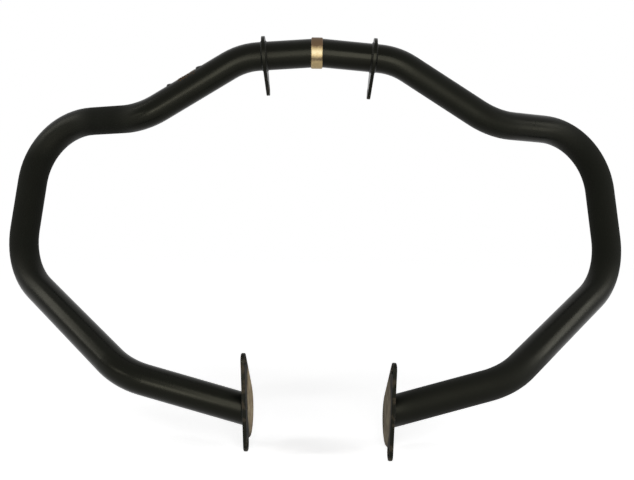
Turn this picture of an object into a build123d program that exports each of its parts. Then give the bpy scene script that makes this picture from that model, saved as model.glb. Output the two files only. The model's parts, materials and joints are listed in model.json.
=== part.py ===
# Motorcycle crash bars: two mirrored bent tubes joined at the crown by a turned coupling.
# X runs across the bike, Y away from the viewer and Z up, in millimetres. The origin lies
# midway between the two end plates, level with the line of the lower legs.

import os
from math import sqrt

from build123d import *

# Bent tube
tube_diameter = 31.75
tube_wall = 2.5
bend_radius = 76.2

# Runs of one tube's middle line, from the crown outwards and down to the wing's foot.
# The crown stands a little to the left of the middle between the end plates.
crown_offset = -5.1
crown_height = 389.0
crown_back = 77.0
lug_out = 62.5
lug_to_corner = 25.0
crown_drop = 7.0
arm_out = 114.5
arm_drop = 71.5
shoulder_out = 130.0
shoulder_back = 36.5
shoulder_drop = 2.7
wing_out = 16.2
wing_forward = 17.6
wing_drop = 171.0

# Lower leg: the corner that it starts from, a little to the left as well, and its slope down
# to the end plate, a little steeper on the right
leg_offset = -2.8
leg_corner_out = 197.0
leg_corner_height = 34.4
leg_slope = 15.6
leg_skew = 0.4

# Coupling: a collar between the tubes, a little to the left of where their middle lines meet, with
# a spigot inside each tube
collar_offset = -2.6
collar_width = 13.0
collar_lip = 1.4
collar_edge = 0.8
spigot_length = 40.0
spigot_clearance = 0.15
spigot_chamfer = 1.5

# Set screw that locks each tube to its spigot, from behind
screw_out = 28.0
screw_diameter = 8.0
screw_length = 8.0
screw_recess = 0.6
screw_clearance = 0.1
screw_chamfer = 0.6
screw_socket = 4.0
screw_socket_depth = 4.0

# Upper lug: a plate threaded over the top run, with a bolt hole in its tongue. The left one is
# turned a little backwards round the tube, and the right one a little forwards.
lug_thickness = 4.0
lug_margin = 6.2
lug_fit = 0.1
lug_tip_radius = 8.5
lug_tip_back = 23.0
lug_tip_drop = 32.5
lug_turn = 4.0
lug_hole = 8.5
lug_edge = 0.4

# End plate: a round pad under the tube, with a bolt ear above and below its near edge. The lower
# ear stands clear of the pad by its neck. The plates splay outwards as they rise, lean a little to
# the left and turn their inner faces a little forwards. Their gap is measured at the origin.
plate_gap = 140.1
plate_thickness = 3.8
plate_margin = 12.1
plate_splay = 2.3
plate_lean = 0.5
plate_toe = 2.0
left_plate_rise = 0.4
right_plate_drop = 6.6
ear_radius = 7.6
ear_rise = 53.1
ear_neck = 3.9
ear_hole = 9.0
ear_corner = 2.0
plate_edge = 0.5

# Weld beads: the leg and the lip of each fillet, the bulge of a lug's bead, and the fine gap
# between a bead and the tube that it runs round
lug_weld = 1.8
lug_bead_crown = 0.25
plate_weld = 3.0
plate_bead_lip = 0.4
seam_gap = 0.05

# Sizes that follow from the driving ones
tube_radius = tube_diameter / 2
spigot_radius = tube_radius - tube_wall - spigot_clearance
screw_radius = screw_diameter / 2
screw_floor = tube_radius - screw_recess - screw_length
pad_radius = tube_radius + plate_margin
ear_line = ear_radius - pad_radius
ear_step = Vector(ear_line + ear_radius, -sqrt(pad_radius**2 - (ear_line + ear_radius) ** 2))
ear_drop = ear_neck - ear_step.Y
backwards = Vector(0, 1, 0)
sides = {"left": -1, "right": 1}

os.makedirs("parts", exist_ok=True)


def crown_point():
    """Where the two tubes' middle lines meet, in the middle of the coupling."""
    return Vector(crown_offset, crown_back, crown_height)


def crown_run(side):
    """Unit vector along a tube's top run, away from the coupling."""
    return Vector(side * (lug_out + lug_to_corner), 0, -crown_drop).normalized()


def leg_run(side):
    """Unit vector along a tube's lower leg, towards its end plate."""
    return Vector(-side, 0, 0).rotate(Axis.Y, -side * leg_slope - leg_skew)


def leg_corner(side):
    """Corner of a tube's middle line between the wing and the lower leg."""
    return Vector(leg_offset + side * leg_corner_out, 0, leg_corner_height)


def turned_with_plate(side, direction):
    """A direction after an end plate's splay, lean and toe."""
    splayed = direction.rotate(Axis.Y, side * plate_splay - plate_lean)
    return splayed.rotate(Axis.Z, side * plate_toe)


def plate_outwards(side):
    """Unit vector square to an end plate's faces, away from the bike."""
    return turned_with_plate(side, Vector(side, 0, 0))


def plate_backwards(side):
    """Unit vector along an end plate's faces, away from the viewer."""
    return turned_with_plate(side, backwards)


def leg_end(side):
    """Where a tube's middle line meets the outer face of its end plate."""
    outwards = plate_outwards(side)
    face_point = Vector(side * plate_gap / 2, 0, 0) + outwards * plate_thickness
    to_face = (face_point - leg_corner(side)).dot(outwards)
    return leg_corner(side) + leg_run(side) * (to_face / leg_run(side).dot(outwards))


def on_crown_run(side, out):
    """The point of a top run's middle line at a distance out from the crown."""
    run = crown_run(side)
    return crown_point() + run * (out / abs(run.X))


def collar_face(side):
    """The point of a top run's middle line where it meets the collar."""
    return on_crown_run(side, collar_width / 2 + side * collar_offset)


def tube_corners(side):
    """Corners of a tube's middle line, from the crown to just past the end plate."""
    crown_corner = crown_point() + Vector(side * (lug_out + lug_to_corner), 0, -crown_drop)
    shoulder = crown_corner + Vector(side * arm_out, 0, -arm_drop)
    wing_top = shoulder + Vector(side * shoulder_out, shoulder_back, -shoulder_drop)
    wing_foot = wing_top + Vector(side * wing_out, -wing_forward, -wing_drop)
    past_plate = leg_end(side) + leg_run(side) * tube_radius
    return [crown_point(), crown_corner, shoulder, wing_top, wing_foot, leg_corner(side), past_plate]


def screw_plane(side, height):
    """Plane across a lock screw, at a height above the tube's middle line, facing backwards."""
    return Plane(on_crown_run(side, screw_out) + backwards * height, z_dir=backwards)


def lug_plane(side):
    """Middle plane of an upper lug, square to the top run, with its y axis pointing up."""
    across = backwards.rotate(Axis((0, 0, 0), crown_run(side)), -lug_turn)
    return Plane(on_crown_run(side, lug_out), x_dir=across, z_dir=crown_run(side) * side)


def plate_plane(side):
    """Inner face of an end plate, centred on its pad, with its y axis pointing up."""
    tube_foot = leg_end(side) - plate_outwards(side) * plate_thickness
    plane = Plane(tube_foot, x_dir=plate_backwards(side), z_dir=plate_outwards(side) * side)
    rise = -right_plate_drop if side > 0 else left_plate_rise
    return Plane(tube_foot + plane.y_dir * rise, x_dir=plane.x_dir, z_dir=plane.z_dir)


# Bent tubes: cut flush with the collar at the crown and with the end plate at the foot
for name, side in sides.items():
    with BuildPart() as bar:
        with BuildLine() as route:
            FilletPolyline(*tube_corners(side), radius=bend_radius)
        with BuildSketch(Plane(crown_point(), z_dir=crown_run(side))):
            Circle(tube_radius)
            Circle(tube_radius - tube_wall, mode=Mode.SUBTRACT)
        sweep(path=route.line)
        split(bisect_by=Plane(collar_face(side), z_dir=(side, 0, 0)))
        with BuildSketch(Plane(leg_end(side), z_dir=-plate_outwards(side))):
            Circle(tube_diameter)
        extrude(amount=tube_diameter, mode=Mode.SUBTRACT)
        with Locations(screw_plane(side, tube_radius)):
            Hole(screw_radius + screw_clearance, depth=tube_radius)
    bar.part.label = f"{name}_bar"
    export_step(bar.part, f"parts/{name}_bar.step")

# Coupling: the collar keeps the tubes apart, and the spigots follow their slopes
collar_middle = (collar_face(-1) + collar_face(1)) / 2
with BuildPart() as coupling:
    with BuildSketch(Plane(collar_middle, z_dir=(1, 0, 0))):
        Circle(tube_radius + collar_lip)
    extrude(amount=collar_width / 2, both=True)
    chamfer(coupling.edges().filter_by(GeomType.CIRCLE), collar_edge)
    for side in sides.values():
        spigot_end = collar_face(side) + crown_run(side) * spigot_length
        with BuildSketch(Plane(spigot_end, z_dir=-crown_run(side))):
            Circle(spigot_radius)
        extrude(amount=spigot_length + collar_width / 2)
        chamfer(coupling.faces().sort_by(Axis.X)[-1 if side > 0 else 0].edges(), spigot_chamfer)
        with Locations(screw_plane(side, spigot_radius)):
            Hole(screw_radius + screw_clearance, depth=spigot_radius - screw_floor)
coupling.part.label = "centre_coupling"
export_step(coupling.part, "parts/centre_coupling.step")

# Lock screws: socket set screws that bear on the floors of the spigots' holes
with BuildPart() as screws:
    for side in sides.values():
        with BuildSketch(screw_plane(side, screw_floor)):
            Circle(screw_radius)
        shank = extrude(amount=screw_length)
        chamfer(shank.edges().filter_by(GeomType.CIRCLE), screw_chamfer)
        with BuildSketch(screw_plane(side, screw_floor + screw_length)):
            RegularPolygon(screw_socket / 2, 6, major_radius=False)
        extrude(amount=-screw_socket_depth, mode=Mode.SUBTRACT)
screws.part.label = "lock_screws"
export_step(screws.part, "parts/lock_screws.step")

# Upper lugs: a ring round the tube that runs tangent into a tongue, down and backwards
for name, side in sides.items():
    with BuildPart() as lug:
        with BuildSketch(lug_plane(side)):
            Circle(tube_radius + lug_margin)
            with Locations((lug_tip_back, -lug_tip_drop)):
                Circle(lug_tip_radius)
            make_hull()
            Circle(tube_radius + lug_fit, mode=Mode.SUBTRACT)
            with Locations((lug_tip_back, -lug_tip_drop)):
                Circle(lug_hole / 2, mode=Mode.SUBTRACT)
        extrude(amount=lug_thickness / 2, both=True)
        lug_faces = lug.faces().sort_by(Axis(on_crown_run(side, lug_out), crown_run(side)))
        chamfer([face.outer_wire().edges() for face in (lug_faces[0], lug_faces[-1])], lug_edge)
    lug.part.label = f"{name}_upper_lug"
    export_step(lug.part, f"parts/{name}_upper_lug.step")

# Lug welds: a fillet bead round the tube on each face of the lug
for name, side in sides.items():
    bead_root = tube_radius + seam_gap
    with BuildPart() as beads:
        for facing in (-1, 1):
            corner = (facing * lug_thickness / 2, bead_root)
            toe = (facing * (lug_thickness / 2 + lug_weld), bead_root)
            top = (facing * lug_thickness / 2, bead_root + lug_weld)
            with BuildSketch(Plane(on_crown_run(side, lug_out), x_dir=crown_run(side), z_dir=backwards)):
                with BuildLine():
                    Polyline(toe, corner, top)
                    SagittaArc(top, toe, facing * lug_bead_crown)
                make_face()
            revolve(axis=Axis(on_crown_run(side, lug_out), crown_run(side)))
    beads.part.label = f"{name}_lug_welds"
    export_step(beads.part, f"parts/{name}_lug_welds.step")

# End plates: the top ear runs tangent into the pad, and the lower ear steps out from under it
for name, side in sides.items():
    with BuildPart() as plate:
        with BuildSketch(plate_plane(side)) as outline:
            Circle(pad_radius)
            with Locations((ear_line, ear_rise)):
                Circle(ear_radius)
            make_hull()
            with Locations((ear_line, -ear_drop / 2)):
                Rectangle(2 * ear_radius, ear_drop)
            with Locations((ear_line, -ear_drop)):
                Circle(ear_radius)
            fillet(outline.vertices().sort_by_distance(ear_step)[0], ear_corner)
            with Locations((ear_line, ear_rise), (ear_line, -ear_drop)):
                Circle(ear_hole / 2, mode=Mode.SUBTRACT)
        extrude(amount=side * plate_thickness)
        plate_faces = plate.faces().sort_by(Axis(leg_end(side), plate_outwards(side)))
        chamfer([face.outer_wire().edges() for face in (plate_faces[0], plate_faces[-1])], plate_edge)
    plate.part.label = f"{name}_end_plate"
    export_step(plate.part, f"parts/{name}_end_plate.step")

# Plate welds: a fillet bead round the slanted tube, on the outer face of the end plate
for name, side in sides.items():
    slant_cosine = -leg_run(side).dot(plate_outwards(side))
    slant_radius = tube_radius / slant_cosine
    bead_top = leg_end(side) - leg_run(side) * (plate_weld / slant_cosine)
    with BuildPart() as bead:
        with BuildSketch(Plane(leg_end(side), x_dir=plate_backwards(side), z_dir=plate_outwards(side))):
            Ellipse(tube_radius + plate_weld, slant_radius + plate_weld)
        with BuildSketch(Plane(bead_top, x_dir=plate_backwards(side), z_dir=plate_outwards(side))):
            Ellipse(tube_radius + plate_bead_lip, slant_radius + plate_bead_lip)
        loft()
        with BuildSketch(Plane(leg_end(side) + leg_run(side) * tube_radius, z_dir=-leg_run(side))):
            Circle(tube_radius + seam_gap)
        extrude(amount=tube_diameter, mode=Mode.SUBTRACT)
    bead.part.label = f"{name}_plate_weld"
    export_step(bead.part, f"parts/{name}_plate_weld.step")
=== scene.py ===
import json
import random
from math import cos, pi, radians, sin

import bpy
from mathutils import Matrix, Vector


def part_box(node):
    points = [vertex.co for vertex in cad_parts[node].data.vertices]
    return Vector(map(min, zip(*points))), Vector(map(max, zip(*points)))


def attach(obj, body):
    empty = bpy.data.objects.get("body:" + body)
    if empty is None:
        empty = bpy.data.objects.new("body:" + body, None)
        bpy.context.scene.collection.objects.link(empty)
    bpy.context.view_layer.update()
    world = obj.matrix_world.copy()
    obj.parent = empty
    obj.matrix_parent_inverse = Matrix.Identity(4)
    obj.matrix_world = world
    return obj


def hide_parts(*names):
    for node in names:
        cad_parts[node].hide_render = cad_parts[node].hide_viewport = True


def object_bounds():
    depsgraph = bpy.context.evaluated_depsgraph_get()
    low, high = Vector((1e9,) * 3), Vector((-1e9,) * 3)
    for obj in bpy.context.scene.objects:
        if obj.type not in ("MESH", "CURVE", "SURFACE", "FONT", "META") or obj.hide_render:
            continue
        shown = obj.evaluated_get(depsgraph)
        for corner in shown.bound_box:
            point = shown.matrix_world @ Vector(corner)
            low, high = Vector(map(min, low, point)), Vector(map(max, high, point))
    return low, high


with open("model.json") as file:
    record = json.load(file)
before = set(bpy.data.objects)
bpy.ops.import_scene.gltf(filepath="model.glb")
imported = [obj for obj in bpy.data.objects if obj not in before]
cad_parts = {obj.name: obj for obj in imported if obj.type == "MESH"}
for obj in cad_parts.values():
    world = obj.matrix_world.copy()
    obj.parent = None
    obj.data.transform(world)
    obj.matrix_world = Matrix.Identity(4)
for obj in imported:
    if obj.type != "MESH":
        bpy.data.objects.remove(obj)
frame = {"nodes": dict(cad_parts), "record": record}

cad_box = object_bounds()

# Bars: two mirrored halves of bent round steel tube, one for each side of the motorcycle. They are
# sprayed with satin black powder, which cures with a fine orange-peel skin. Road grit has dulled the
# upright wings, the left shoulder and the right leg, and the bend above the left wing only in part.
to_left = (-1, 0, 0)
to_right = (1, 0, 0)
to_top = (0, 0, 1)
coat_dark = (0.0003, 0.0006, 0.0005, 1)
coat_light = (0.0010, 0.0015, 0.0012, 1)
coat_cloud = (38, 5)
coat_stops = ((0.35, coat_dark), (0.7, coat_light))
coat_sheen = (1.0, 0.97, 0.74, 1)
coat_gloss = 0.115
satin_left = ((-0.20, 0.26), (-0.10, 0.29), (-0.06, 0.33), (-0.01, 0.31))
satin_right = ((0.02, 0.24), (0.045, 0.22), (0.075, 0.24), (0.11, 0.46), (0.20, 0.46), (0.24, 0.28))
satin_reach = 0.36
satin_cloud = (150, 4)
satin_mottle = 0.07
dull_roughness = 0.80
dull_out = ((to_left, 0.200, 0.240), (to_right, 0.250, 0.315))
dull_up = (0.105, 0.165)
bend_out = (0.262, 0.292)
bend_up = (0.262, 0.295)
bend_satin = 0.75
leg_roughness = 0.62
leg_out = (0.06, 0.10)
leg_down = (0.064, 0.042)
peel_waves = (260, 2)
peel_wave_depth = 0.00012
peel_grain = (1100, 2)
peel_grain_depth = 0.00006
peel_strength = 0.2
cloud_roughness = 0.55


def add_node(tree, kind, **settings):
    """A shader node with its settings and the constant values of its inputs."""
    node = tree.nodes.new(kind)
    for name, value in settings.items():
        if name in node.inputs:
            node.inputs[name].default_value = value
        else:
            setattr(node, name, value)
    return node


def feed(tree, socket, value):
    """Gives a shader input a constant, or the output of another node."""
    if isinstance(value, bpy.types.NodeSocket):
        tree.links.new(value, socket)
    else:
        socket.default_value = value


def calc(tree, operation, *values):
    """A sum on numbers and the outputs of other nodes."""
    node = add_node(tree, "ShaderNodeMath", operation=operation)
    for socket, value in zip(node.inputs, values):
        feed(tree, socket, value)
    return node.outputs[0]


def vector_calc(tree, operation, *values):
    """A sum on places and directions. A length or a dot product comes out as a number."""
    node = add_node(tree, "ShaderNodeVectorMath", operation=operation)
    for socket, value in zip(node.inputs, values):
        feed(tree, socket, value)
    return node.outputs["Value" if operation in ("LENGTH", "DOT_PRODUCT") else "Vector"]


def place(tree):
    """Where a point of the surface lies, in the part's own metres."""
    return add_node(tree, "ShaderNodeTexCoord").outputs["Object"]


def reach(tree, direction, origin=(0, 0, 0)):
    """How far a point of the surface lies from an origin, measured along a direction."""
    offset = vector_calc(tree, "SUBTRACT", place(tree), origin)
    return vector_calc(tree, "DOT_PRODUCT", offset, direction)


def fade(tree, value, start, end):
    """Goes smoothly from 0 to 1 while a value goes from start to end."""
    node = add_node(tree, "ShaderNodeMapRange", interpolation_type="SMOOTHSTEP")
    feed(tree, node.inputs["Value"], value)
    feed(tree, node.inputs["From Min"], start)
    feed(tree, node.inputs["From Max"], end)
    return node.outputs["Result"]


def cloud(tree, lumps, layers):
    """Noise with lumps to the metre, and layers of finer ones, as a value from 0 to 1."""
    noise = add_node(tree, "ShaderNodeTexNoise", Scale=lumps, Detail=layers, Roughness=cloud_roughness)
    feed(tree, noise.inputs["Vector"], place(tree))
    return noise.outputs["Fac"]


def stray(tree, lumps, layers, spread):
    """The same noise as a small number to add, up to half a spread below or above 0."""
    return calc(tree, "MULTIPLY_ADD", cloud(tree, lumps, layers), spread, -spread / 2)


def grey(level):
    """A level as a colour, for a socket that takes colours."""
    return (level, level, level, 1)


def ramp(tree, value, *stops):
    """Colours or levels spread over a value, each stop being (position, colour)."""
    node = add_node(tree, "ShaderNodeValToRGB")
    elements = node.color_ramp.elements
    while len(elements) < len(stops):
        elements.new(0.5)
    for element, (position, colour) in zip(elements, stops):
        element.position = position
        element.color = colour if isinstance(colour, tuple) else grey(colour)
    feed(tree, node.inputs["Fac"], value)
    return node.outputs["Color"]


def merge(tree, factor, first, second):
    """One colour that turns into another as a factor goes from 0 to 1."""
    node = add_node(tree, "ShaderNodeMix", data_type="RGBA")
    colour_inputs = (node.inputs[0], node.inputs[6], node.inputs[7])
    for socket, value in zip(colour_inputs, (factor, first, second)):
        feed(tree, socket, value)
    return node.outputs[2]


def relief(tree, height, depth, strength, under=None):
    """A bump of the given depth in metres, laid over an earlier one."""
    node = add_node(tree, "ShaderNodeBump", Strength=strength, Distance=depth)
    feed(tree, node.inputs["Height"], height)
    if under is not None:
        feed(tree, node.inputs["Normal"], under)
    return node.outputs["Normal"]


def new_finish(name):
    """An empty material, with its node tree and its main shader."""
    finish = bpy.data.materials.new(name)
    finish.use_nodes = True
    return finish, finish.node_tree, finish.node_tree.nodes["Principled BSDF"]


def powder_coat(name):
    """Satin black powder coat, with fine dust, an orange-peel skin and dull wings."""
    finish, tree, shader = new_finish(name)
    shader.inputs["Specular IOR Level"].default_value = coat_gloss
    shader.inputs["Specular Tint"].default_value = coat_sheen
    colour = ramp(tree, cloud(tree, *coat_cloud), *coat_stops)
    rightwards = reach(tree, to_right)
    upwards = reach(tree, to_top)
    across = calc(tree, "MULTIPLY_ADD", rightwards, 0.5 / satin_reach, 0.5)
    stops = ((0.5 + x / satin_reach / 2, level) for x, level in satin_left + satin_right)
    satin = calc(tree, "ADD", ramp(tree, across, *stops), stray(tree, *satin_cloud, satin_mottle))
    on_wing = 0.0
    for way, starts, full in dull_out:
        on_wing = calc(tree, "ADD", on_wing, fade(tree, reach(tree, way), starts, full))
    dulled = calc(tree, "MULTIPLY", on_wing, fade(tree, upwards, *dull_up))
    past_shoulder = fade(tree, reach(tree, to_left), *bend_out)
    on_left_bend = calc(tree, "MULTIPLY", past_shoulder, fade(tree, upwards, *bend_up))
    dulled = calc(tree, "MULTIPLY", dulled, calc(tree, "MULTIPLY_ADD", on_left_bend, -bend_satin, 1.0))
    roughness = merge(tree, dulled, satin, grey(dull_roughness))
    past_plate = fade(tree, rightwards, *leg_out)
    on_leg = calc(tree, "MULTIPLY", past_plate, fade(tree, upwards, *leg_down))
    roughness = merge(tree, on_leg, roughness, grey(leg_roughness))
    waves = relief(tree, cloud(tree, *peel_waves), peel_wave_depth, peel_strength)
    skin = relief(tree, cloud(tree, *peel_grain), peel_grain_depth, peel_strength, waves)
    feed(tree, shader.inputs["Base Color"], colour)
    feed(tree, shader.inputs["Roughness"], roughness)
    feed(tree, shader.inputs["Normal"], skin)
    return finish


def dress(node, *finishes):
    """Gives a piece of the frame its finish, or several in its material slots."""
    piece = frame["nodes"][node]
    piece.data.materials.clear()
    for finish in finishes:
        piece.data.materials.append(finish)


black_coat = powder_coat("black_powder_coat")
scuffed_coat = powder_coat("scuffed_powder_coat")
dress("left_bar", scuffed_coat)
dress("right_bar", black_coat)

# Scuff: the rough edge on top of the left arm, where the bar has been knocked. A ridge of pushed-up
# coat stands at each end of the patch, and rust flecks and small lifted flakes lie between them.
tube_radius = 0.015875
arm_slope = radians(32.0)
arm_run = Vector((-cos(arm_slope), 0, -sin(arm_slope)))
arm_up = Vector((-sin(arm_slope), 0, cos(arm_slope)))
forwards = Vector((0, -1, 0))
scuff_place = Vector((-0.1555, 0.077, 0.3427))
scuff_lean = radians(24)
rust_middle = -0.0085
rust_ends = (0.01725, 0.00805)
rust_sides = (tube_radius * 0.70, tube_radius * 0.98)
rust_thins = 0.35
rust_dark = (0.012, 0.0065, 0.0026, 1)
rust_brown = (0.078, 0.043, 0.015, 1)
rust_cloud = (900, 4)
rust_stops = ((0.35, rust_dark), (0.62, rust_brown))
rust_roughness = 0.75
rust_gloss = 0.1
rust_pits = (1500, 4)
rust_pit_depth = 0.0002
rust_pit_strength = 0.8
fleck_cloud = (480, 4)
fleck_edge = (0.42, 0.50)
ridge_starts = (-0.0301, 0.0099)
ridge_lengths = (0.0096, 0.0078)
ridge_height = 0.0014
ridge_half_turn = radians(24)
ridge_turn = radians(16)
ridge_peak = 0.72
ridge_cells = 12
flake_count = 34
flake_seed = 7
flake_span = (-0.0205, 0.0030)
flake_turns = (radians(2), radians(44))
flake_lengths = (0.0007, 0.0019)
flake_width_share = 0.6
flake_heights = (0.0003, 0.0008)
flake_peaks = (0.3, 0.7)
flake_cells = 5
across_peak = 0.5
sunk_rim = 0.0002
sunk_middle = 0.0008


def wear(finish, mask, colour, roughness):
    """Lays another colour and roughness over a finish, where a mask is 1."""
    tree = finish.node_tree
    shader = tree.nodes["Principled BSDF"]
    for name, worn in (("Base Color", colour), ("Roughness", grey(roughness))):
        sound = shader.inputs[name].links[0].from_socket
        feed(tree, shader.inputs[name], merge(tree, mask, sound, worn))


def rust_colour(tree):
    """Dark and lighter brown in fine grains."""
    return ramp(tree, cloud(tree, *rust_cloud), *rust_stops)


def arm_out(angle):
    """The way out of the arm's surface, turned forwards from its top by an angle."""
    return arm_up * cos(angle) + forwards * sin(angle)


def bump_up(share, peak):
    """A smooth rise from 0 at the start to 1 at the peak, and a fall to 0 at the end."""
    part = share / peak if share < peak else (1 - share) / (1 - peak)
    return part * part * (3 - 2 * part)


def raise_skin(mesh, start, length, turn, half_turn, height, peak, cells):
    """Adds a raised patch of the arm's surface, closed underneath, to (points, faces)."""
    points, faces = mesh
    first = len(points)
    for i in range(cells + 1):
        along = scuff_place + arm_run * (start + length * i / cells)
        for j in range(cells + 1):
            lift = height * bump_up(i / cells, peak) * bump_up(j / cells, across_peak)
            if i in (0, cells) or j in (0, cells):
                lift = -sunk_rim
            out = arm_out(turn + half_turn * (2 * j / cells - 1))
            points.append(along + out * (tube_radius + lift))
    row = cells + 1
    for i in range(cells):
        for j in range(cells):
            corner = first + i * row + j
            faces.append((corner, corner + row, corner + row + 1, corner + 1))
    rim = [first + j for j in range(row)]
    rim += [first + i * row + cells for i in range(1, row)]
    rim += [first + cells * row + j for j in range(cells - 1, -1, -1)]
    rim += [first + i * row for i in range(cells - 1, 0, -1)]
    bottom = len(points)
    halfway = scuff_place + arm_run * (start + length / 2)
    points.append(halfway + arm_out(turn) * (tube_radius - sunk_middle))
    for corner, after in zip(rim, rim[1:] + rim[:1]):
        faces.append((corner, after, bottom))


def new_piece(name, mesh, finish):
    """A smooth mesh piece that belongs to the part."""
    data = bpy.data.meshes.new(name)
    points, faces = mesh
    data.from_pydata(points, [], faces)
    data.shade_smooth()
    data.materials.append(finish)
    piece = bpy.data.objects.new(name, data)
    bpy.context.collection.objects.link(piece)
    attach(piece, "root")
    return piece


tree = scuffed_coat.node_tree
from_middle = calc(tree, "ABSOLUTE", reach(tree, arm_run, scuff_place + arm_run * rust_middle))
in_length = fade(tree, from_middle, *rust_ends)
in_width = fade(tree, reach(tree, arm_out(scuff_lean), scuff_place), *rust_sides)
in_patch = calc(tree, "MULTIPLY", in_length, in_width)
thinner = calc(tree, "MULTIPLY_ADD", in_patch, rust_thins, -rust_thins)
flecks = fade(tree, calc(tree, "ADD", cloud(tree, *fleck_cloud), thinner), *fleck_edge)
wear(scuffed_coat, flecks, rust_colour(tree), rust_roughness)

ridges = ([], [])
for start, length in zip(ridge_starts, ridge_lengths):
    raise_skin(ridges, start, length, ridge_turn, ridge_half_turn, ridge_height, ridge_peak,
               ridge_cells)
new_piece("scuff_ridges", ridges, black_coat)

rust, tree, shader = new_finish("rust")
pits = relief(tree, cloud(tree, *rust_pits), rust_pit_depth, rust_pit_strength)
feed(tree, shader.inputs["Base Color"], rust_colour(tree))
feed(tree, shader.inputs["Normal"], pits)
shader.inputs["Roughness"].default_value = rust_roughness
shader.inputs["Specular IOR Level"].default_value = rust_gloss

dice = random.Random(flake_seed)
flakes = ([], [])
for _ in range(flake_count):
    length = dice.uniform(*flake_lengths)
    turn = dice.uniform(*flake_turns)
    start = dice.uniform(*flake_span)
    height = dice.uniform(*flake_heights)
    peak = dice.uniform(*flake_peaks)
    half_turn = length * flake_width_share / tube_radius
    raise_skin(flakes, start, length, turn, half_turn, height, peak, flake_cells)
new_piece("scuff_rust", flakes, rust)

# Coupling: turned from bare steel, with a collar between the tubes and a spigot inside each of them.
# It was never coated. Round its axis a pale band is painted across its front as a highlight, a dark
# line below it as a painted reflection, and brown over its upper front and top as painted shade.
bare_tan = (0.34, 0.26, 0.135, 1)
painted_highlight_pale = (0.40, 0.335, 0.205, 1)
painted_shade_brown = (0.125, 0.080, 0.046, 1)
painted_dark_line = (0.085, 0.062, 0.038, 1)
# The bands round the collar are painted light: painted shade in brown at the top, and a painted
# highlight and a painted dark reflection across the front.
collar_reflection_bands = (
    (0.36, bare_tan),
    (0.397, painted_dark_line),
    (0.43, bare_tan),
    (0.466, painted_highlight_pale),
    (0.50, bare_tan),
    (0.535, painted_shade_brown),
    (0.78, painted_shade_brown),
    (0.92, bare_tan),
)
collar_band_cloud = (420, 4)
collar_band_mottle = 0.05
bare_roughness = 0.52
bare_strength = 0.4
lathe_pitch = 0.0005
lathe_depth = 0.00002
bare_grain = (700, 3)
bare_grain_depth = 0.00005

low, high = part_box("centre_coupling")
collar_middle = (low + high) / 2
bare_steel, tree, shader = new_finish("bare_steel")
shader.inputs["Metallic"].default_value = 1.0
shader.inputs["Roughness"].default_value = bare_roughness
upwards = reach(tree, to_top, collar_middle)
frontwards = reach(tree, forwards, collar_middle)
# The colour is painted by the angle round the collar from its front, as bands of painted highlight,
# painted reflection and painted shade.
around = calc(tree, "MULTIPLY_ADD", calc(tree, "ARCTAN2", upwards, frontwards), 0.5 / pi, 0.5)
around = calc(tree, "ADD", around, stray(tree, *collar_band_cloud, collar_band_mottle))
feed(tree, shader.inputs["Base Color"], ramp(tree, around, *collar_reflection_bands))
turns = calc(tree, "MULTIPLY", reach(tree, to_right), 2 * pi / lathe_pitch)
rings = relief(tree, calc(tree, "SINE", turns), lathe_depth, bare_strength)
skin = relief(tree, cloud(tree, *bare_grain), bare_grain_depth, bare_strength, rings)
feed(tree, shader.inputs["Normal"], skin)
dress("centre_coupling", bare_steel)

# Lock screws: two socket set screws of blackened steel, one behind each tube. Each goes through the
# tube's wall into the spigot, and the key has worn the socket's edges a little brighter.
screw_black = (0.016, 0.015, 0.014, 1)
screw_worn = (0.10, 0.093, 0.082, 1)
screw_cloud = (900, 4)
screw_stops = ((0.45, screw_black), (0.8, screw_worn))
screw_metallic = 0.9
screw_rub = (600, 3)
screw_roughness = ((0.3, 0.34), (0.7, 0.52))
screw_grain = (2200, 3)
screw_grain_depth = 0.00003
screw_grain_strength = 0.4

screw_steel, tree, shader = new_finish("screw_steel")
shader.inputs["Metallic"].default_value = screw_metallic
skin = relief(tree, cloud(tree, *screw_grain), screw_grain_depth, screw_grain_strength)
feed(tree, shader.inputs["Base Color"], ramp(tree, cloud(tree, *screw_cloud), *screw_stops))
feed(tree, shader.inputs["Roughness"], ramp(tree, cloud(tree, *screw_rub), *screw_roughness))
feed(tree, shader.inputs["Normal"], skin)
dress("lock_screws", screw_steel)

# Upper lugs: flat steel plates threaded over the top runs, one on each side of the coupling. Their
# tongues take the bolts to the motorcycle's frame. They were welded on and coated with the tubes, and
# bolting has worn brownish spots into the coat of the tongues.
worn_brown = (0.024, 0.019, 0.013, 1)
worn_roughness = 0.6
worn_cloud = (120, 4)
worn_edge = (0.49, 0.61)
worn_below = (0.372, 0.356)

worn_coat = powder_coat("worn_powder_coat")
tree = worn_coat.node_tree
spots = fade(tree, cloud(tree, *worn_cloud), *worn_edge)
low_down = fade(tree, reach(tree, to_top), *worn_below)
wear(worn_coat, calc(tree, "MULTIPLY", spots, low_down), worn_brown, worn_roughness)
for side in ("left", "right"):
    dress(f"{side}_upper_lug", worn_coat)

# Lug welds: a fillet bead round the tube on each face of a lug, laid by hand in short overlapping
# pools, so that it is rippled. The coat goes over it.
lug_thickness = 0.004
lug_weld = 0.0018
lug_ripples = 46
bead_fill = 0.93
bead_bulge = 1.65
bead_wander = ((0.04, 3, 1), (0.03, 7, 2))
bead_steps = 8
ripple_lag = 0.55
ripple_depth = 0.20
ripple_curve = 1.5
ripple_steps = 7


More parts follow.
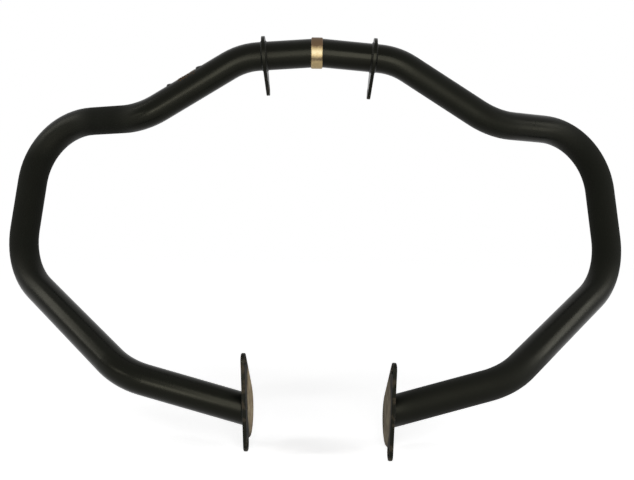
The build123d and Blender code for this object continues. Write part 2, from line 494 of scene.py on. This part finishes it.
def add_bead(mesh, ring, leg, ripples, phase):
    """Adds a rippled fillet to (points, faces). ring(angle) gives its root and the ways of its legs."""
    points, faces = mesh
    first = len(points)
    stations = ripples * ripple_steps
    row = bead_steps + 2
    for station in range(stations):
        angle = 2 * pi * station / stations
        root, face_way, tube_way = ring(angle)
        points.append(root)
        wander = sum(sway * sin(waves * angle + shift * phase) for sway, waves, shift in bead_wander)
        for step in range(bead_steps + 1):
            share = step / bead_steps
            pool = (station / ripple_steps + ripple_lag * (2 * share - 1) ** 2) % 1.0
            dip = ripple_depth * pool ** ripple_curve * sin(pi * share)
            size = leg * (bead_fill + wander - dip)
            turn = share * pi / 2
            points.append(root + face_way * (size * cos(turn) ** bead_bulge)
                          + tube_way * (size * sin(turn) ** bead_bulge))
    for station in range(stations):
        here = first + station * row
        there = first + (station + 1) % stations * row
        for step in range(row):
            after = (step + 1) % row
            faces.append((here + step, there + step, there + after, here + after))


mounts = {mount["name"]: mount for mount in frame["record"]["mounts"]}
for side in ("left", "right"):
    run = Vector(mounts[f"{side}_lug_hole"]["axis"])
    low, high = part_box(f"{side}_lug_welds")
    middle = (low + high) / 2
    level = run.cross((0, 1, 0)).normalized()
    across = run.cross(level)
    beads = ([], [])
    for facing in (-1, 1):

        def lug_ring(angle, facing=facing):
            """Root of a lug's bead, with the ways up the lug and along the tube."""
            turned = facing * angle
            out = level * cos(turned) + across * sin(turned)
            return middle + run * (facing * lug_thickness / 2) + out * tube_radius, out, run * facing

        add_bead(beads, lug_ring, lug_weld, lug_ripples, phase=facing)
    bead = new_piece(f"{side}_lug_beads", beads, black_coat)
    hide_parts(f"{side}_lug_welds")

# End plates: flat steel plates welded across the tubes' lower ends, with a bolt ear above and below.
# They are coated like the lugs, and as worn at their edges. The round pads bear on the motorcycle. On
# each inner face a tan brown is painted over the pad as a painted reflection of pale glancing light,
# fading into the worn coat of the ears, and lighter on the left plate than on the right.
pad_reflection_edge = (0.027, 0.016)
pad_reflection_ragged = 0.012
pad_reflection_offset = {"left": Vector((0, 0.007, 0.010)), "right": Vector((0, 0.001, 0.006))}
pad_reflection_stretch = (1, 1, 0.6)
pad_reflection_cloud = (95, 5)
# Painted reflection: the pale glancing reflection on each pad's inner face, painted as tan brown,
# lighter on the left plate.
pad_reflection_stops = {
    "left": ((0.38, (0.21, 0.160, 0.098, 1)), (0.62, (0.38, 0.31, 0.20, 1))),
    "right": ((0.38, (0.085, 0.068, 0.048, 1)), (0.62, (0.165, 0.138, 0.096, 1))),
}
ear_stops = ((0.42, coat_light), (0.66, worn_brown))
pad_face_roughness = 0.7
pad_face_gloss = 0.05
pad_face_grain = (800, 4)
pad_face_grain_depth = 0.00008
pad_face_grain_strength = 0.5
flat_share = 0.97


def pad_painted_reflection(side, pad):
    """The inner face of an end plate: a painted reflection in tan brown on the pad, and darker worn
    coat on the ears.
    """
    finish, tree, shader = new_finish(f"{side}_pad_painted_reflection")
    shader.inputs["Specular IOR Level"].default_value = pad_face_gloss
    shader.inputs["Roughness"].default_value = pad_face_roughness
    offset = vector_calc(tree, "SUBTRACT", place(tree), pad + pad_reflection_offset[side])
    distance = vector_calc(tree, "LENGTH", vector_calc(tree, "MULTIPLY", offset, pad_reflection_stretch))
    ragged = calc(tree, "ADD", distance, stray(tree, *worn_cloud, pad_reflection_ragged))
    painted_reflection = ramp(tree, cloud(tree, *pad_reflection_cloud), *pad_reflection_stops[side])
    ears = ramp(tree, cloud(tree, *worn_cloud), *ear_stops)
    skin = relief(tree, cloud(tree, *pad_face_grain), pad_face_grain_depth, pad_face_grain_strength)
    # The pad's painted reflection, fading into the worn coat of the ears.
    feed(tree, shader.inputs["Base Color"], merge(tree, fade(tree, ragged, *pad_reflection_edge), ears, painted_reflection))
    feed(tree, shader.inputs["Normal"], skin)
    return finish


for side in ("left", "right"):
    face = mounts[f"{side}_plate_face"]
    inwards = Vector(face["axis"])
    dress(f"{side}_end_plate", worn_coat, pad_painted_reflection(side, Vector(face["pos_m"])))
    for polygon in frame["nodes"][f"{side}_end_plate"].data.polygons:
        polygon.material_index = int(polygon.normal.dot(inwards) > flat_share)

# Plate welds: a fillet bead round the slanted end of each tube, on the outer face of its plate. Like
# the lugs' beads they are rippled and coated.
plate_thickness = 0.0038
plate_weld = 0.003
plate_ripples = 34
leg_corners = {"left": Vector((-0.1998, 0, 0.0344)), "right": Vector((0.1942, 0, 0.0344))}
leg_slopes = {"left": radians(15.2), "right": radians(16.0)}

for side, inward_x in (("left", 1), ("right", -1)):
    face = mounts[f"{side}_plate_face"]
    outwards = -Vector(face["axis"])
    outer_face = Vector(face["pos_m"]) + outwards * plate_thickness
    leg_run = Vector((inward_x * cos(leg_slopes[side]), 0, -sin(leg_slopes[side])))
    corner = leg_corners[side]
    slant = leg_run.dot(outwards)
    tube_end = corner + leg_run * ((outer_face - corner).dot(outwards) / slant)
    long_way = (leg_run - outwards * slant).normalized()
    short_way = outwards.cross(long_way)

    def plate_ring(angle):
        """Root of a plate's bead, with the ways over the plate and up the tube."""
        out = long_way * (cos(angle) / -slant) + short_way * sin(angle)
        return tube_end + out * tube_radius, out.normalized(), -leg_run

    beads = ([], [])
    add_bead(beads, plate_ring, plate_weld, plate_ripples, phase=inward_x)
    bead = new_piece(f"{side}_plate_bead", beads, black_coat)
    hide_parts(f"{side}_plate_weld")

# Studio: a pale floor just under the plates, white all round, and soft lamps. A tall lamp in front
# shows along the crown and the arms, and one at each side along the lower diagonals. Small ones carry
# the highlights on along the left leg, through the lower bends and along the right shoulder.
pure_white = (1, 1, 1, 1)
floor_gap = 0.0005
floor_half = 6.0
floor_white = (0.90, 0.90, 0.90, 1)
floor_roughness = 0.9
floor_near_light = ((0, 0.67), (0.35, 0.74), (0.7, 0.88), (1.2, 0.96))
floor_far_light = ((2.0, 0.97), (3.2, 0.98), (6.0, 0.98))
world_level = 0.02
lamps = {
    "front_lamp": ((0.02, -0.68, 0.265), (0.01, 0.05, 0.265), 0.28, 0.50, 2.85),
    "left_low_lamp": ((-0.23, -0.66, 0.07), (-0.14, 0.0, 0.02), 0.16, 0.20, 0.94),
    "left_bend_lamp": ((-0.61, -0.60, 0.22), (-0.20, 0.0, 0.05), 0.26, 0.10, 0.50),
    "left_lamp": ((-1.25, -0.40, 0.78), (-0.28, 0.05, 0.09), 0.25, 0.95, 5.7),
    "right_bend_lamp": ((0.50, -0.58, 0.11), (0.19, 0.08, 0.30), 0.34, 0.10, 0.45),
    "right_lamp": ((1.27, -0.40, 0.52), (0.27, 0.05, 0.09), 0.25, 0.80, 6.0),
    "right_low_lamp": ((0.90, -0.42, 0.15), (0.26, 0.10, 0.31), 0.16, 0.30, 0.75),
}

low, high = cad_box
bpy.ops.mesh.primitive_plane_add(size=2 * floor_half, location=(0, 0, low[2] - floor_gap))
floor = bpy.context.object
floor.name = "floor"


def background_rays(tree):
    """1 for rays that see the background: from the camera, or by way of gloss or glass."""
    path = add_node(tree, "ShaderNodeLightPath")
    seen = calc(tree, "MAXIMUM", path.outputs["Is Camera Ray"], path.outputs["Is Glossy Ray"])
    return calc(tree, "MAXIMUM", seen, path.outputs["Is Transmission Ray"])


pale, tree, shader = new_finish("pale_floor")
shader.inputs["Base Color"].default_value = floor_white
shader.inputs["Roughness"].default_value = floor_roughness
shader.inputs["Specular IOR Level"].default_value = 0.0
shader.inputs["Emission Color"].default_value = pure_white
away = calc(tree, "MULTIPLY", vector_calc(tree, "LENGTH", place(tree)), 1 / floor_half)
stops = ((metres / floor_half, level) for metres, level in floor_near_light + floor_far_light)
own_light = calc(tree, "MULTIPLY", background_rays(tree), ramp(tree, away, *stops))
feed(tree, shader.inputs["Emission Strength"], own_light)
floor.data.materials.append(pale)

world = bpy.data.worlds.new("studio")
bpy.context.scene.world = world
world.use_nodes = True
tree = world.node_tree
tree.nodes.clear()
soft = add_node(tree, "ShaderNodeBackground", Color=pure_white, Strength=world_level)
white = add_node(tree, "ShaderNodeBackground", Color=pure_white, Strength=1.0)
either = add_node(tree, "ShaderNodeMixShader")
feed(tree, either.inputs[0], background_rays(tree))
feed(tree, either.inputs[1], soft.outputs[0])
feed(tree, either.inputs[2], white.outputs[0])
surroundings = add_node(tree, "ShaderNodeOutputWorld")
feed(tree, surroundings.inputs["Surface"], either.outputs[0])

for name, (where, aim, width, height, power) in lamps.items():
    light = bpy.data.lights.new(name, "AREA")
    light.shape = "RECTANGLE"
    light.size = width
    light.size_y = height
    light.energy = power
    holder = bpy.data.objects.new(name, light)
    bpy.context.collection.objects.link(holder)
    holder.location = where
    holder.rotation_euler = (Vector(aim) - Vector(where)).to_track_quat("-Z", "Y").to_euler()
    holder.visible_camera = False

# Camera: in front of the bars, a little under half their height, level with the ground and turned
# almost straight towards them. It is rolled by almost a degree.
camera_place = (-0.0074, -0.6342, 0.1747)
camera_pitch = 0.03
camera_yaw = 0.275
camera_roll = 0.964
camera_lens = 35.205
camera_sensor = 36.0

camera = bpy.data.objects.new("camera", bpy.data.cameras.new("camera"))
bpy.context.collection.objects.link(camera)
camera.location = camera_place
camera.rotation_euler = (radians(90 - camera_pitch), radians(-camera_roll), radians(-camera_yaw))
camera.data.sensor_fit = "HORIZONTAL"
camera.data.sensor_width = camera_sensor
camera.data.lens = camera_lens
bpy.context.scene.camera = camera
bpy.context.scene.view_settings.view_transform = "Standard"
